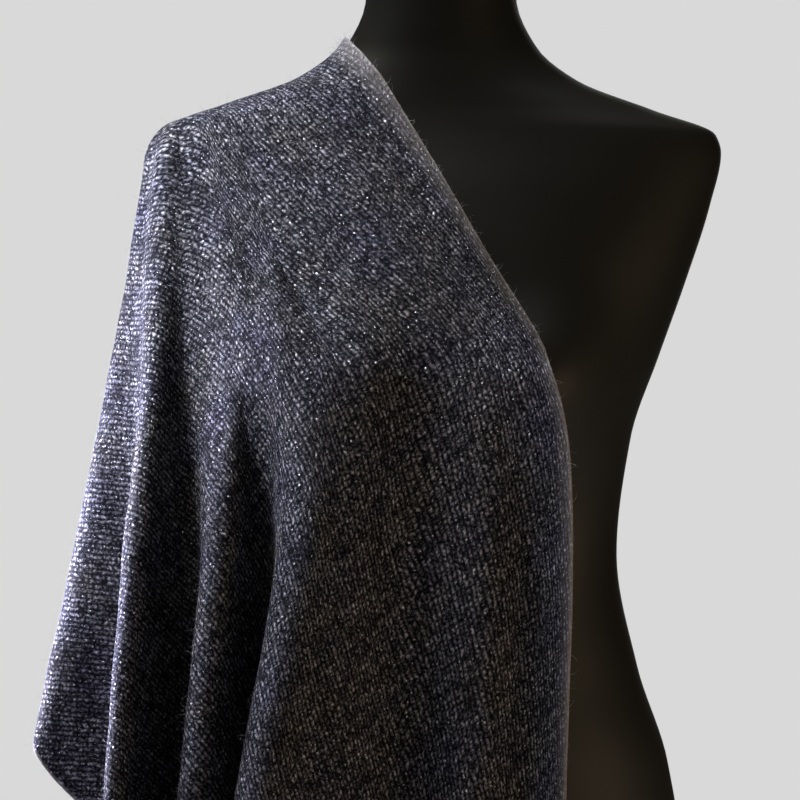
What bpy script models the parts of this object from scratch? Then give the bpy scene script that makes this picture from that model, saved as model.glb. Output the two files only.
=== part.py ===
"""A knitted triangle shawl, draped over one shoulder of a limbless dress form on a pole and a round foot.

Metres, +Z up. The origin is the centre of the foot's underside, and the form faces -Y.
The wearer's right is -X. Heights in the tables are measured from the tip of the shoulder.
"""

import math
from collections import namedtuple

import bmesh
import bpy
from mathutils import Vector
from mathutils.bvhtree import BVHTree

# The stand
SHOULDER_HEIGHT = 1.12
FOOT_RADIUS = 0.160
FOOT_THICKNESS = 0.008
FOOT_EDGE = 0.002
HUB_RADIUS = 0.028
HUB_HEIGHT = 0.040
POLE_RADIUS = 0.0125
FLANGE_RADIUS = 0.045
FLANGE_THICKNESS = 0.008
JOINT_GAP = 0.0003
ROUND_SIDES = 48

# The dress form, as level sections: how far each reaches to the side, to the front and to the back
Section = namedtuple("Section", "height half_width front back")
FORM_SECTIONS = (
    Section(0.151, 0.048, -0.060, 0.036),
    Section(0.146, 0.053, -0.065, 0.041),
    Section(0.108, 0.054, -0.062, 0.048),
    Section(0.073, 0.069, -0.062, 0.057),
    Section(0.049, 0.099, -0.064, 0.065),
    Section(0.028, 0.154, -0.067, 0.072),
    Section(0.011, 0.198, -0.071, 0.079),
    Section(-0.002, 0.202, -0.075, 0.083),
    Section(-0.039, 0.194, -0.088, 0.092),
    Section(-0.094, 0.176, -0.103, 0.098),
    Section(-0.149, 0.156, -0.110, 0.097),
    Section(-0.207, 0.136, -0.104, 0.089),
    Section(-0.290, 0.126, -0.088, 0.074),
    Section(-0.371, 0.141, -0.095, 0.087),
    Section(-0.439, 0.163, -0.101, 0.104),
    Section(-0.511, 0.173, -0.100, 0.115),
    Section(-0.578, 0.168, -0.092, 0.110),
    Section(-0.583, 0.163, -0.088, 0.105),
)
FORM_RINGS = 44
FORM_SIDES = 48
TIP_REACH = 0.025
TIP_DENSITY = 2.0
BUST_HEIGHT = -0.172
BUST_SPACING = 0.080
BUST_RADIUS = 0.052
BUST_FULLNESS = 0.033

# The shawl's flat cut, a triangle. Its long edge passes the neck, with one length in front and one behind.
# The third tip lies so far along that edge from the neck, and so far away from it.
FRONT_LENGTH = 0.85
BACK_LENGTH = 0.98
TIP_ALONG = 0.36
TIP_AWAY = 0.826
SHOULDER_SPAN = 0.137
WALL = 0.0020


def corner_angle(along, away):
    """A place's direction from the tip of the shoulder on the flat cloth. 0 is what hangs at the side."""
    return math.degrees(math.atan2(along, away - SHOULDER_SPAN))


FRONT_TIP = corner_angle(FRONT_LENGTH, 0.0)
LOW_TIP = corner_angle(TIP_ALONG, TIP_AWAY)
BACK_TIP = corner_angle(-BACK_LENGTH, 0.0)

# The shawl's fold lines, from the front edge round the wearer's right side to the back edge.
# angle: its direction on the flat cloth from the tip of the shoulder, in degrees.
# start: how far across (x) the line leaves the ridge of the shoulder.
# chest, bust, waist, hip: how far across (x) and how deep (y) it hangs at those heights.
# A depth of 0 leaves it lying on the form.
Fold = namedtuple("Fold", "name angle start chest bust waist hip")
FOLDS = (
    Fold("front_edge", FRONT_TIP, -0.0655, (0.0265, 0.0), (0.0765, -0.134), (0.089, -0.134), (0.084, -0.14)),
    Fold("edge_dip", 94.5, -0.079, (0.005, 0.0), (0.054, -0.127), (0.06, -0.121), (0.055, -0.129)),
    Fold("panel_right", 90.0, -0.092, (-0.018, 0.0), (0.027, -0.123), (0.026, -0.128), (0.018, -0.137)),
    Fold("panel_dip", 84.0, -0.108, (-0.052, 0.0), (-0.014, -0.121), (-0.025, -0.121), (-0.03, -0.119)),
    Fold("panel_left", 76.5, -0.128, (-0.088, 0.0), (-0.058, -0.131), (-0.069, -0.137), (-0.086, -0.144)),
    Fold("crest_3", 69.0, -0.146, (-0.12, -0.072), (-0.096, -0.128), (-0.104, -0.138), (-0.137, -0.15)),
    Fold("valley_3", 59.5, -0.159, (-0.136, -0.066), (-0.126, -0.113), (-0.124, -0.1), (-0.128, -0.078)),
    Fold("crest_2", 50.0, -0.17, (-0.152, -0.067), (-0.152, -0.094), (-0.157, -0.12), (-0.173, -0.138)),
    Fold("valley_2", 40.0, -0.18, (-0.178, -0.05), (-0.18, -0.058), (-0.177, -0.064), (-0.178, -0.053)),
    Fold("crest_1", LOW_TIP, -0.185, (-0.201, -0.044), (-0.205, -0.066), (-0.216, -0.095), (-0.23, -0.118)),
    Fold("valley_1", 14.0, -0.185, (-0.211, -0.018), (-0.213, -0.024), (-0.209, -0.028), (-0.205, -0.01)),
    Fold("side_crest", 0.0, -0.185, (-0.221, 0.006), (-0.238, 0.008), (-0.261, 0.01), (-0.297, 0.012)),
    Fold("back_valley_1", -12.0, -0.185, (-0.212, 0.029), (-0.214, 0.036), (-0.211, 0.04), (-0.208, 0.04)),
    Fold("back_crest_1", -24.0, -0.185, (-0.208, 0.052), (-0.216, 0.08), (-0.229, 0.1), (-0.248, 0.125)),
    Fold("back_valley_2", -36.0, -0.18, (-0.188, 0.054), (-0.188, 0.07), (-0.189, 0.066), (-0.192, 0.052)),
    Fold("back_crest_2", -48.0, -0.17, (-0.168, 0.07), (-0.173, 0.102), (-0.184, 0.119), (-0.205, 0.14)),
    Fold("back_valley_3", -58.5, -0.159, (-0.145, 0.06), (-0.145, 0.095), (-0.147, 0.092), (-0.152, 0.085)),
    Fold("back_crest_3", -69.0, -0.146, (-0.12, 0.06), (-0.112, 0.114), (-0.127, 0.134), (-0.15, 0.16)),
    Fold("back_panel_left", -77.0, -0.128, (-0.086, 0.0), (-0.064, 0.108), (-0.077, 0.129), (-0.09, 0.15)),
    Fold("back_panel_dip", -84.0, -0.108, (-0.05, 0.0), (-0.018, 0.104), (-0.026, 0.116), (-0.032, 0.134)),
    Fold("back_panel_right", -90.0, -0.092, (-0.02, 0.0), (0.018, 0.106), (0.016, 0.122), (0.012, 0.146)),
    Fold("back_edge_dip", -94.0, -0.079, (0.002, 0.0), (0.044, 0.103), (0.048, 0.118), (0.044, 0.138)),
    Fold("back_edge", BACK_TIP, -0.0655, (0.022, 0.0), (0.068, 0.104), (0.076, 0.121), (0.074, 0.142)),
)
CHEST_HEIGHT = -0.072
BUST_LEVEL = -0.165
WAIST_HEIGHT = -0.280
HIP_HEIGHT = -0.453
LOW_HEIGHT = -0.850
SPREAD_BELOW_HIP = 0.6

# How the cloth leaves the ridge: over its first drop it goes part of the way to its place at the chest.
TOP_DROP = 0.030
TOP_SHARE_ON_FORM = 0.25
TOP_SHARE_AT_TIP = 0.75
TIP_ANGLES = (60.0, 40.0)
RIDGE_HEIGHTS = (0.011, 0.108)

# How it lies on the form, and how softly it comes to it and leaves it
CLEARANCE = 0.0022
SOFT_TOUCH = 0.004
SOFT_LEAVE = 0.006

# How broadly it turns at the fold lines, and how finely it is drawn
TURN_BREADTH = 2.4
LONGEST_TURN = 1.4
PANEL_COLUMNS = 3
FOLD_COLUMNS = 5
SHAWL_ROWS = 26
ROW_CROWDING = 1.6
PATH_POINTS = 220
LONGEST_DROP = 1.05


def clear_scene():
    for old in list(bpy.data.objects):
        bpy.data.objects.remove(old)


def collection_named(name):
    group = bpy.data.collections.new(name)
    bpy.context.scene.collection.children.link(group)
    return group


def material_named(name, colour, roughness, metallic=0.0):
    material = bpy.data.materials.new(name)
    material.use_nodes = True
    shader = material.node_tree.nodes["Principled BSDF"]
    shader.inputs["Base Color"].default_value = (*colour, 1.0)
    shader.inputs["Roughness"].default_value = roughness
    shader.inputs["Metallic"].default_value = metallic
    return material


def object_from(name, mesh, material, group, smooth_angle=40.0):
    """A finished object, shaded smooth but for its sharp edges, with its material."""
    mesh.materials.append(material)
    mesh.shade_smooth()
    mesh.set_sharp_from_angle(angle=math.radians(smooth_angle))
    made = bpy.data.objects.new(name, mesh)
    group.objects.link(made)
    return made


def monotone(knots, values, at, brisk=False):
    """A smooth curve through the values that never overshoots them. The knots may rise or fall.

    A brisk curve keeps more of its slope where it turns.
    """
    if knots[0] > knots[-1]:
        knots, values = knots[::-1], values[::-1]
    if at <= knots[0]:
        return values[0]
    if at >= knots[-1]:
        return values[-1]
    last = len(knots) - 1
    steps = [knots[k + 1] - knots[k] for k in range(last)]
    rises = [(values[k + 1] - values[k]) / steps[k] for k in range(last)]
    k = next(i for i in range(last) if at <= knots[i + 1])

    def slope(i):
        if i == 0:
            return rises[0]
        if i == last:
            return rises[-1]
        if rises[i - 1] * rises[i] <= 0:
            return 0.0
        if brisk:
            least = min(rises[i - 1], rises[i], key=abs)
            return min((rises[i - 1] + rises[i]) / 2, 3 * least, key=abs)
        before, after = 2 * steps[i] + steps[i - 1], steps[i] + 2 * steps[i - 1]
        return (before + after) / (before / rises[i - 1] + after / rises[i])

    t = (at - knots[k]) / steps[k]
    return (
        values[k] * (1 + 2 * t) * (1 - t) ** 2
        + slope(k) * steps[k] * t * (1 - t) ** 2
        + values[k + 1] * t * t * (3 - 2 * t)
        + slope(k + 1) * steps[k] * t * t * (t - 1)
    )


def rounded(points, at):
    """A smooth curve through evenly numbered points, which turns broadly at each, between two of them."""
    last = len(points) - 1
    k = min(int(at), last - 1)
    t = at - k

    def tangent(i):
        before, after = points[max(i - 1, 0)], points[min(i + 1, last)]
        if i in (0, last):
            return after - before
        shorter = min((after - points[i]).length, (points[i] - before).length)
        across = (after - before) * (TURN_BREADTH / 2)
        return across * min(1.0, LONGEST_TURN * shorter / across.length)

    return (
        points[k] * (1 + 2 * t) * (1 - t) ** 2
        + tangent(k) * t * (1 - t) ** 2
        + points[k + 1] * t * t * (3 - 2 * t)
        + tangent(k + 1) * t * t * (t - 1)
    )


def smoothstep(low, high, x):
    t = min(max((x - low) / (high - low), 0.0), 1.0)
    return t * t * (3 - 2 * t)


def loft(rings):
    """A closed surface through closed rings of equally many points, with flat ends."""
    shape = bmesh.new()
    rows = [[shape.verts.new(point) for point in ring] for ring in rings]
    sides = len(rings[0])
    for low, high in zip(rows, rows[1:]):
        for k in range(sides):
            following = (k + 1) % sides
            shape.faces.new((low[k], low[following], high[following], high[k]))
    shape.faces.new(rows[0][::-1])
    shape.faces.new(rows[-1])
    bmesh.ops.recalc_face_normals(shape, faces=shape.faces)
    return shape


def mesh_from(shape, name):
    mesh = bpy.data.meshes.new(name)
    shape.to_mesh(mesh)
    shape.free()
    return mesh


# Dress form

def form_section(height):
    """The form's half width, front and back at a height."""
    heights = [s.height for s in FORM_SECTIONS]
    sides = ([getattr(s, side) for s in FORM_SECTIONS] for side in ("half_width", "front", "back"))
    return [monotone(heights, reaches, height) for reaches in sides]


def bust(x, height):
    """How far the bust stands out of the plain section."""
    rise = (height - BUST_HEIGHT) / BUST_RADIUS
    return BUST_FULLNESS * sum(
        math.exp(-(((x - side * BUST_SPACING) / BUST_RADIUS) ** 2) - rise * rise) for side in (-1, 1)
    )


def form_ring(height):
    half_width, front, back = form_section(height)
    middle, half_depth = (front + back) / 2, (back - front) / 2
    ring = []
    for k in range(FORM_SIDES):
        turn = 2 * math.pi * k / FORM_SIDES
        x = half_width * math.cos(turn)
        y = middle + half_depth * math.sin(turn)
        facing_front = max(0.0, -math.sin(turn))
        ring.append(Vector((x, y - bust(x, height) * facing_front, SHOULDER_HEIGHT + height)))
    return ring


def form_heights():
    """Heights of the form's rings: evenly spaced along its outline, and closer at the shoulder tip."""
    top, bottom = FORM_SECTIONS[0].height, FORM_SECTIONS[-1].height
    samples = 800
    heights = [bottom + (top - bottom) * k / samples for k in range(samples + 1)]
    walked = [0.0]
    for low, high in zip(heights, heights[1:]):
        across = form_section(high)[0] - form_section(low)[0]
        weight = 1 + TIP_DENSITY * math.exp(-((high / TIP_REACH) ** 2))
        walked.append(walked[-1] + weight * math.hypot(high - low, across))
    evenly = [walked[-1] * k / FORM_RINGS for k in range(FORM_RINGS + 1)]
    return [monotone(walked, heights, at) for at in evenly]


def build_form(material, group):
    shape = loft([form_ring(height) for height in form_heights()])
    surface = BVHTree.FromBMesh(shape)
    object_from("dress_form", mesh_from(shape, "dress_form"), material, group)
    return surface


# Shawl

def cut_reach(angle):
    """How far the flat triangle reaches from the shoulder tip, in a direction given in degrees."""
    along, across = math.sin(math.radians(angle)), math.cos(math.radians(angle))
    corners = ((-BACK_LENGTH, 0.0), (TIP_ALONG, TIP_AWAY), (FRONT_LENGTH, 0.0))
    nearest = math.inf
    for (a1, d1), (a2, d2) in zip(corners, corners[1:]):
        crossing = along * (d2 - d1) - across * (a2 - a1)
        if abs(crossing) < 1e-9:
            continue
        reach = (a1 * (d2 - d1) - (d1 - SHOULDER_SPAN) * (a2 - a1)) / crossing
        if reach > 0:
            nearest = min(nearest, reach)
    return nearest


def ridge_point(x):
    """The highest point of the bare shoulder at x."""
    low, high = RIDGE_HEIGHTS
    for _ in range(40):
        middle = (low + high) / 2
        if form_section(middle)[0] > abs(x):
            low = middle
        else:
            high = middle
    _, front, back = form_section(low)
    return Vector((x, (front + back) / 2, low))


def held_off(point, surface):
    """The point, moved out of the form where it would lie nearer than the clearance."""
    near, normal, _, distance = surface.find_nearest(point)
    away = point - near
    outside = away.dot(normal) > 0
    depth = distance if outside else -distance
    if depth > CLEARANCE + SOFT_TOUCH:
        return point
    share = (CLEARANCE + SOFT_TOUCH - depth) / (2 * SOFT_TOUCH)
    shift = SOFT_TOUCH * share * share if share < 1 else CLEARANCE - depth
    direction = away.normalized() if outside and distance > 1e-4 else normal
    return point + direction * shift


def hanging_place(fold, start, drop):
    """Where a fold line is when it has dropped this far below its start, before the form holds it off."""
    height = start.z - drop
    heights = (start.z - TOP_DROP, CHEST_HEIGHT, BUST_LEVEL, WAIST_HEIGHT, HIP_HEIGHT, LOW_HEIGHT)
    below = SPREAD_BELOW_HIP * (HIP_HEIGHT - LOW_HEIGHT) / (WAIST_HEIGHT - HIP_HEIGHT)
    at_tip = smoothstep(TIP_ANGLES[0], TIP_ANGLES[1], abs(fold.angle))
    top_share = TOP_SHARE_ON_FORM + (TOP_SHARE_AT_TIP - TOP_SHARE_ON_FORM) * at_tip
    fallen = min(drop / TOP_DROP, 1.0)
    dome = math.sqrt(1 - (1 - fallen) ** 2)
    out = fallen + (dome - fallen) * at_tip
    place = []
    for axis in (0, 1):
        chest, bust_place, waist, hip = (spot[axis] for spot in fold[3:])
        top = start[axis] + (chest - start[axis]) * top_share
        low = hip + (hip - waist) * below
        at = monotone(heights, (top, chest, bust_place, waist, hip, low), height, brisk=axis == 0)
        place.append(start[axis] + (at - start[axis]) * out)
    return Vector((*place, height))


def laid_on_form(place, side, surface):
    """The hanging place, brought out to the form's front (side -1) or back (side 1) if it is inside."""
    origin = Vector((place.x, side, place.z))
    hit = surface.ray_cast(origin + Vector((0, 0, SHOULDER_HEIGHT)), Vector((0, -side, 0)))[0]
    if hit is None:
        return place
    proud = side * (hit.y - place.y)
    if proud < -SOFT_LEAVE:
        return place
    share = (SOFT_LEAVE + proud) / (2 * SOFT_LEAVE)
    shift = SOFT_LEAVE * share * share if share < 1 else proud
    return place + Vector((0, side * shift, 0))


def flat_length(fold):
    """How long a fold line is on the flat cloth, from the shoulder's ridge to the hem."""
    reach, angle = cut_reach(fold.angle), math.radians(fold.angle)
    along, across = reach * math.sin(angle), SHOULDER_SPAN + reach * math.cos(angle)
    share = (fold.start - FOLDS[0].start) / (min(f.start for f in FOLDS) - FOLDS[0].start)
    return math.hypot(along, across - SHOULDER_SPAN * share)


def column(fold, surface):
    """The shawl's inner points down one line, from the ridge of the shoulder to the hem."""
    start = ridge_point(fold.start)
    side = -1 if fold.angle >= 0 else 1
    lift = Vector((0, 0, SHOULDER_HEIGHT))
    path, walked = [held_off(start + lift, surface)], [0.0]
    for k in range(1, PATH_POINTS + 1):
        place = hanging_place(fold, start, LONGEST_DROP * (k / PATH_POINTS) ** 2)
        path.append(held_off(laid_on_form(place, side, surface) + lift, surface))
        walked.append(walked[-1] + (path[-1] - path[-2]).length)
    points = []
    for row in range(SHAWL_ROWS + 1):
        at = flat_length(fold) * (row / SHAWL_ROWS) ** ROW_CROWDING
        k = max(i for i in range(PATH_POINTS) if walked[i] <= at)
        share = (at - walked[k]) / (walked[k + 1] - walked[k])
        points.append(path[k].lerp(path[k + 1], share))
    return points


def fold_between(place):
    """A line of the cloth between two rows of the table, curved smoothly but for where it starts."""
    k = min(int(place), len(FOLDS) - 2)
    start = FOLDS[k].start + (FOLDS[k + 1].start - FOLDS[k].start) * (place - k)
    angle = FOLDS[k].angle + (FOLDS[k + 1].angle - FOLDS[k].angle) * (place - k)
    spots = [rounded([Vector(getattr(f, level)) for f in FOLDS], place) for level in Fold._fields[3:]]
    return Fold(FOLDS[k].name, angle, start, *spots)


def column_places():
    """Where in the table the shawl's columns lie, with fewer across the plain panels than in folds."""
    places = []
    for k, fold in enumerate(FOLDS[:-1]):
        plain = "panel" in fold.name or "edge" in fold.name or "panel" in FOLDS[k + 1].name
        count = PANEL_COLUMNS if plain else FOLD_COLUMNS
        places += [k + i / count for i in range(count)]
    return [*places, len(FOLDS) - 1]


def build_shawl(surface, material, group):
    columns = [column(fold_between(place), surface) for place in column_places()]
    shape = bmesh.new()
    grid = [[shape.verts.new(point) for point in points] for points in columns]
    for left, right in zip(grid, grid[1:]):
        for row in range(SHAWL_ROWS):
            shape.faces.new((left[row], left[row + 1], right[row + 1], right[row]))
    bmesh.ops.remove_doubles(shape, verts=shape.verts, dist=0.0001)
    bmesh.ops.recalc_face_normals(shape, faces=shape.faces)
    shape.normal_update()
    front = min(shape.faces, key=lambda face: face.calc_center_median().y)
    if front.normal.y > 0:
        bmesh.ops.reverse_faces(shape, faces=shape.faces)
    shawl = object_from("shawl", mesh_from(shape, "shawl"), material, group, smooth_angle=80.0)
    wall = shawl.modifiers.new("wall", "SOLIDIFY")
    wall.thickness = WALL
    wall.offset = 1.0
    return shawl


# Stand

def disc(name, radius, low, high, material, group, edge=0.0):
    """A round piece between two heights, with its edges broken if asked."""
    shape = bmesh.new()
    bmesh.ops.create_cone(
        shape, cap_ends=True, segments=ROUND_SIDES, radius1=radius, radius2=radius, depth=high - low
    )
    bmesh.ops.translate(shape, verts=shape.verts, vec=(0, 0, (low + high) / 2))
    made = object_from(name, mesh_from(shape, name), material, group)
    if edge:
        bevel = made.modifiers.new("broken edge", "BEVEL")
        bevel.width = edge
        bevel.segments = 2
    return made


def build_stand(material, group):
    form_bottom = SHOULDER_HEIGHT + FORM_SECTIONS[-1].height
    flange_bottom = form_bottom - JOINT_GAP - FLANGE_THICKNESS
    hub_bottom = FOOT_THICKNESS + JOINT_GAP
    pole_bottom = hub_bottom + HUB_HEIGHT + JOINT_GAP
    disc("foot", FOOT_RADIUS, 0.0, FOOT_THICKNESS, material, group, FOOT_EDGE)
    disc("foot_hub", HUB_RADIUS, hub_bottom, hub_bottom + HUB_HEIGHT, material, group, FOOT_EDGE)
    disc("pole", POLE_RADIUS, pole_bottom, flange_bottom - JOINT_GAP, material, group)
    disc("form_flange", FLANGE_RADIUS, flange_bottom, form_bottom - JOINT_GAP, material, group)


def main():
    clear_scene()
    group = collection_named("draped_triangle_shawl")
    knit = material_named("metallic_knit", (0.10, 0.10, 0.14), 0.85)
    black = material_named("black_form", (0.010, 0.010, 0.010), 0.45)
    steel = material_named("black_steel", (0.020, 0.020, 0.021), 0.40, 0.6)
    surface = build_form(black, group)
    build_shawl(surface, knit, group)
    build_stand(steel, group)


main()
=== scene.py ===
# %% [markdown]
# # A knitted triangle shawl on a dress form
# The shawl is one triangle of fine knitting, thrown over one shoulder of a black display form.
# The solids of the part are loaded first. Everything here is made in the same metres and the same place,
# so a piece goes where its measures say, and nothing has to be moved or scaled to fit afterwards.

# %% The fixed frame
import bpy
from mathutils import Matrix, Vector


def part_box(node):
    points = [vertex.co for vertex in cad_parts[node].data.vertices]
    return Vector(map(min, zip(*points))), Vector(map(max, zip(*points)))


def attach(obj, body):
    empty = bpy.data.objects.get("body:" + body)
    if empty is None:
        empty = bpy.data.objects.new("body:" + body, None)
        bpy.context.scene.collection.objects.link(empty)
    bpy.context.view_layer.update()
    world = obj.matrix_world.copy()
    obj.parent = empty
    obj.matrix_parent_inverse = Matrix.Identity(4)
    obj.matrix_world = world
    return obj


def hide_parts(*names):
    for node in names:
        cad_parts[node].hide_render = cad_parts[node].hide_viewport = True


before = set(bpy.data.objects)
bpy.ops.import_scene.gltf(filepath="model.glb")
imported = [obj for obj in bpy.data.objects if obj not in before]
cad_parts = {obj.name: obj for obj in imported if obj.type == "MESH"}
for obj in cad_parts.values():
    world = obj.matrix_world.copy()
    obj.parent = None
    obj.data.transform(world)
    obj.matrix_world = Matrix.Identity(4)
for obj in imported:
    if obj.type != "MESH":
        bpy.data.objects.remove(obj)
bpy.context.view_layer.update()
print("solids:", sorted(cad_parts))

# %% [markdown]
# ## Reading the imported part
# The heights and radii of the stand's pieces come later from the solids' own boxes, so the dressed stand can't
# drift away from them. The form and the cloth are drawn from the tip of the shoulder, whose height above the
# floor is the same here as in the solids. The printed box of the form's solid shows whether that is still so.

# %% Measures from the solids
import math
from collections import namedtuple

import bmesh
import bpy
import numpy as np
from mathutils import Euler, Vector, noise
from mathutils.bvhtree import BVHTree

SHOULDER_HEIGHT = 1.12
FORM_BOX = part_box("dress_form")
print("form from", round(FORM_BOX[0].z, 4), "to", round(FORM_BOX[1].z, 4))

# %% [markdown]
# ## Writing node sums as plain sums
# A knit pattern is a long sum of waves and steps. Added node by node, it is hard to read back, so one small
# class wraps a socket: a sum written with it adds the Math nodes that work it out. Any other node comes
# from the method called node, which takes the node's type, its settings and what goes into its sockets. Soft
# noise, colour mixes and colour ramps come up so often that each has a short method of its own.


# %% The socket wrapper
class Wire:
    """A socket of a node tree. Sums written with it add the nodes that work them out."""

    def __init__(self, tree, socket=None):
        self.tree, self.socket = tree, socket

    def node(self, kind, settings=None, inputs=None):
        made = self.tree.nodes.new(kind)
        settings = dict(settings or {})
        stops = settings.pop("stops", None)
        for name, value in settings.items():
            setattr(made, name, value)
        if stops:
            steps = made.color_ramp.elements
            for step, (place, colour) in zip((steps[0], steps[-1]), (stops[0], stops[-1])):
                step.position, step.color = place, (*colour, 1.0)
            for place, colour in stops[1:-1]:
                steps.new(place).color = (*colour, 1.0)
        for name, value in (inputs or {}).items():
            if isinstance(name, int):
                socket = made.inputs[name]
            else:
                socket = next(s for s in made.inputs if s.enabled and s.name == name)
            if isinstance(value, Wire):
                self.tree.links.new(value.socket, socket)
            else:
                socket.default_value = value
        shown = [s for s in made.outputs if s.enabled]
        return Wire(self.tree, shown[0] if shown else None)

    def cloud(self, place, scale, detail):
        """Soft noise over a place."""
        return self.node("ShaderNodeTexNoise", {}, {"Vector": place, "Scale": scale, "Detail": detail})

    def mix(self, share, first, second, blend="MIX"):
        """A colour that goes from the first to the second by a share."""
        settings = {"data_type": "RGBA", "blend_type": blend}
        return self.node("ShaderNodeMix", settings, {"Factor": share, "A": first, "B": second})

    def ramp(self, *stops):
        """A colour for the wire's value, read off stops of (value, colour)."""
        return self.node("ShaderNodeValToRGB", {"stops": stops}, {"Fac": self})

    def out(self, name):
        outputs = self.socket.node.outputs
        return Wire(self.tree, next(s for s in outputs if s.enabled and s.name == name))

    def math(self, operation, *others):
        return self.node("ShaderNodeMath", {"operation": operation}, dict(enumerate((self, *others))))

    def __add__(self, other):
        return self.math("ADD", other)

    def __sub__(self, other):
        return self.math("SUBTRACT", other)

    def __mul__(self, other):
        return self.math("MULTIPLY", other)

    def __truediv__(self, other):
        return self.math("DIVIDE", other)

    def __rsub__(self, other):
        return self.node("ShaderNodeMath", {"operation": "SUBTRACT"}, {0: other, 1: self})

    __radd__ = __add__
    __rmul__ = __mul__


def paint(name, constants):
    """A new material, the wire that its nodes start from, and its shader, with what never changes set on it."""
    material = bpy.data.materials.new(name)
    material.use_nodes = True
    shader = material.node_tree.nodes["Principled BSDF"]
    for socket, value in constants.items():
        shader.inputs[socket].default_value = value
    return material, Wire(material.node_tree), shader


def plug(shader, wires):
    """Joins wires to the shader's sockets by name."""
    for name, wire in wires.items():
        wire.tree.links.new(wire.socket, shader.inputs[name])


# %% [markdown]
# ## Curves for shaping
# The form and the cloth are both drawn from short tables of measures. Between two rows a curve fills in.
# One curve never overshoots its values, so a waist stays as narrow as the table says. The other turns
# broadly at each fold line, as heavy knitting does, so that a fold reads as a soft flute and not as a crease.


# %% Curves
def monotone(knots, values, at, brisk=False):
    """A smooth curve through the values that never overshoots them. The knots may rise or fall.

    A brisk curve keeps more of its slope where it turns.
    """
    if knots[0] > knots[-1]:
        knots, values = knots[::-1], values[::-1]
    if at <= knots[0]:
        return values[0]
    if at >= knots[-1]:
        return values[-1]
    last = len(knots) - 1
    k = next(i for i in range(last) if at <= knots[i + 1])

    def rise(i):
        return (values[i + 1] - values[i]) / (knots[i + 1] - knots[i])

    def slope(i):
        if i in (0, last):
            return rise(0 if i == 0 else last - 1)
        if rise(i - 1) * rise(i) <= 0:
            return 0.0
        if brisk:
            least = min(rise(i - 1), rise(i), key=abs)
            return min((rise(i - 1) + rise(i)) / 2, 3 * least, key=abs)
        left, right = knots[i] - knots[i - 1], knots[i + 1] - knots[i]
        before, after = 2 * right + left, right + 2 * left
        return (before + after) / (before / rise(i - 1) + after / rise(i))

    step = knots[k + 1] - knots[k]
    t = (at - knots[k]) / step
    return (
        values[k] * (1 + 2 * t) * (1 - t) ** 2
        + slope(k) * step * t * (1 - t) ** 2
        + values[k + 1] * t * t * (3 - 2 * t)
        + slope(k + 1) * step * t * t * (t - 1)
    )


TURN_BREADTH = 2.4
LONGEST_TURN = 1.4


def rounded(points, at):
    """A smooth curve through evenly numbered points, which turns broadly at each, between two of them."""
    last = len(points) - 1
    k = min(int(at), last - 1)
    t = at - k

    def tangent(i):
        before, after = points[max(i - 1, 0)], points[min(i + 1, last)]
        if i in (0, last):
            return after - before
        shorter = min((after - points[i]).length, (points[i] - before).length)
        across = (after - before) * (TURN_BREADTH / 2)
        return across * min(1.0, LONGEST_TURN * shorter / across.length)

    return (
        points[k] * (1 + 2 * t) * (1 - t) ** 2
        + tangent(k) * t * (1 - t) ** 2
        + points[k + 1] * t * t * (3 - 2 * t)
        + tangent(k + 1) * t * t * (t - 1)
    )


def smoothstep(low, high, x):
    t = min(max((x - low) / (high - low), 0.0), 1.0)
    return t * t * (3 - 2 * t)


def mesh_of(shape, name):
    mesh = bpy.data.meshes.new(name)
    shape.to_mesh(mesh)
    shape.free()
    mesh.shade_smooth()
    return mesh


def placed(name, mesh, material):
    """An object at the origin, with its place in its mesh."""
    made = bpy.data.objects.new(name, mesh)
    mesh.materials.clear()
    mesh.materials.append(material)
    bpy.context.scene.collection.objects.link(made)
    return made


# %% [markdown]
# ## The dress form
# A limbless display form: neck, shoulders, bust, waist and hips, moulded in black plastic with a satin skin.
# It could be sculpted, or drawn as a few outlines and lofted. Level sections are used, because a form is
# judged by its widths at known heights. Each section is an ellipse with its own front and back reach, and the
# bust is two soft hills added to the front.

# %% Form sections
Section = namedtuple("Section", "height half_width front back")
FORM_SECTIONS = (
    Section(0.151, 0.048, -0.060, 0.036),
    Section(0.146, 0.053, -0.065, 0.041),
    Section(0.108, 0.054, -0.062, 0.048),
    Section(0.073, 0.069, -0.062, 0.057),
    Section(0.049, 0.099, -0.064, 0.065),
    Section(0.028, 0.154, -0.067, 0.072),
    Section(0.011, 0.198, -0.071, 0.079),
    Section(-0.002, 0.202, -0.075, 0.083),
    Section(-0.039, 0.194, -0.088, 0.092),
    Section(-0.094, 0.176, -0.103, 0.098),
    Section(-0.149, 0.156, -0.110, 0.097),
    Section(-0.207, 0.136, -0.104, 0.089),
    Section(-0.290, 0.126, -0.088, 0.074),
    Section(-0.371, 0.141, -0.095, 0.087),
    Section(-0.439, 0.163, -0.101, 0.104),
    Section(-0.511, 0.173, -0.100, 0.115),
    Section(-0.578, 0.168, -0.092, 0.110),
    Section(-0.583, 0.163, -0.088, 0.105),
)
FORM_HEIGHTS = [s.height for s in FORM_SECTIONS]
FORM_REACHES = [[getattr(s, side) for s in FORM_SECTIONS] for side in ("half_width", "front", "back")]
FORM_RINGS = 120
FORM_SIDES = 112
TIP_REACH = 0.025
TIP_DENSITY = 2.0
BUST_HEIGHT = -0.172
BUST_SPACING = 0.080
BUST_RADIUS = 0.052
BUST_FULLNESS = 0.033


def form_section(height):
    """The form's half width, front and back at a height."""
    return [monotone(FORM_HEIGHTS, reaches, height) for reaches in FORM_REACHES]


def bust(x, height):
    """How far the bust stands out of the plain section."""
    rise = (height - BUST_HEIGHT) / BUST_RADIUS
    return BUST_FULLNESS * sum(
        math.exp(-(((x - side * BUST_SPACING) / BUST_RADIUS) ** 2) - rise * rise) for side in (-1, 1)
    )


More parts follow.
